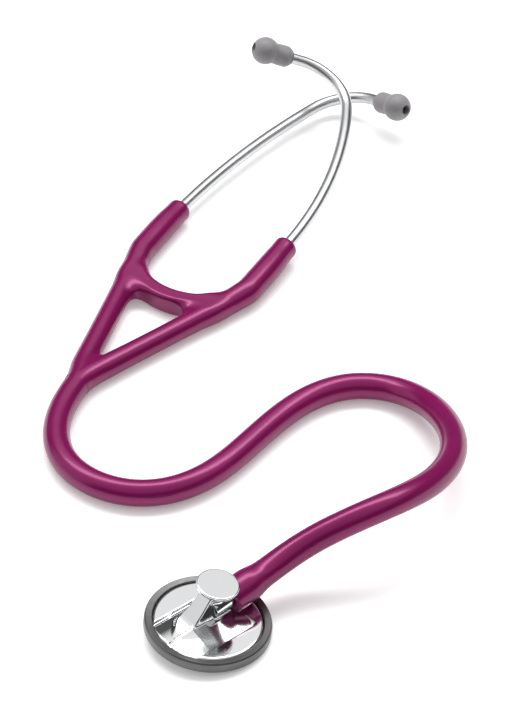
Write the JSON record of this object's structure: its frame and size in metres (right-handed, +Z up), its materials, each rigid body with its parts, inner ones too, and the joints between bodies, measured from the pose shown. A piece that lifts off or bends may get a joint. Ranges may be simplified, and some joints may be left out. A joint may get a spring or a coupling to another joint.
{
  "type": "stethoscope",
  "caption": "Single-sided cardiology stethoscope lying on a table, with sprung headset, tuned diaphragm and free tubing.",
  "frame": {"origin": "on the table under the middle of the object's box, tubing left out", "axes": "+Z up from the table, +Y along the headset from the yoke to the ear tips, +X to the right when looking along +Y"},
  "size_m": [0.2218, 0.3576, 0.0438],
  "materials": {
    "polished_steel": "mirror polished steel",
    "satin_rim": "satin dark grey coating on metal",
    "black_rubber": "matte",
    "diaphragm_film": "smooth glass-fibre and resin sheet",
    "tubing": "glossy moulded tubing, raspberry",
    "spring_steel": "rolled",
    "satin_alloy": "satin anodised",
    "core_plastic": "moulded",
    "soft_grey": "soft matte silicone"
  },
  "bodies": {
    "tubing": {"tube_stem_cuff": "tubing", "main_tube": "tubing", "yoke": "tubing", "leaf_spring": "spring_steel"},
    "chestpiece": {"chestpiece_body": "polished_steel", "chestpiece_stem": "polished_steel", "diaphragm_rim": "satin_rim", "suspension_ring": "black_rubber"},
    "diaphragm": {"diaphragm": "diaphragm_film"},
    "arm_left": {"yoke_arm_left": "tubing", "spring_ferrule_left": "spring_steel", "ear_tube_left": "satin_alloy"},
    "arm_right": {"yoke_arm_right": "tubing", "spring_ferrule_right": "spring_steel", "ear_tube_right": "satin_alloy"},
    "tip_left": {"ear_tip_left": "soft_grey", "ear_tip_core_left": "core_plastic"},
    "tip_right": {"ear_tip_right": "soft_grey", "ear_tip_core_right": "core_plastic"}
  },
  "joints": [
    {"name": "chestpiece_swivel", "type": "hinge", "parent": "tubing", "child": "chestpiece", "pos_m": [0.0778, -0.14399, 0.01303], "axis": [0.2653, 0.9585, 0.1042], "continuous": true},
    {"name": "diaphragm_press", "type": "slide", "parent": "chestpiece", "child": "diaphragm", "axis": [0.0892, 0.0303, 0.9956], "range_m": [0, 0.0004], "stiffness_N_per_m": 8000},
    {"name": "arm_spread_left", "type": "hinge", "parent": "tubing", "child": "arm_left", "pos_m": [-0.0772, 0.01865, 0.0056], "axis": [0, 0, 1], "range_deg": [0, 40], "stiffness_Nm_per_rad": 0.8},
    {"name": "arm_spread_right", "type": "hinge", "parent": "tubing", "child": "arm_right", "pos_m": [-0.0292, 0.01865, 0.0056], "axis": [0.0987, 0.108, -0.9892], "range_deg": [0, 40], "stiffness_Nm_per_rad": 0.8},
    {"name": "ear_tip_turn_left", "type": "hinge", "parent": "arm_left", "child": "tip_left", "pos_m": [-0.04871, 0.17501, 0.01209], "axis": [0.9397, -0.2398, 0.2439], "continuous": true},
    {"name": "ear_tip_turn_right", "type": "hinge", "parent": "arm_right", "child": "tip_right", "pos_m": [-0.08307, 0.15873, 0.03185], "axis": [-0.7116, -0.5804, 0.396], "continuous": true}
  ]
}
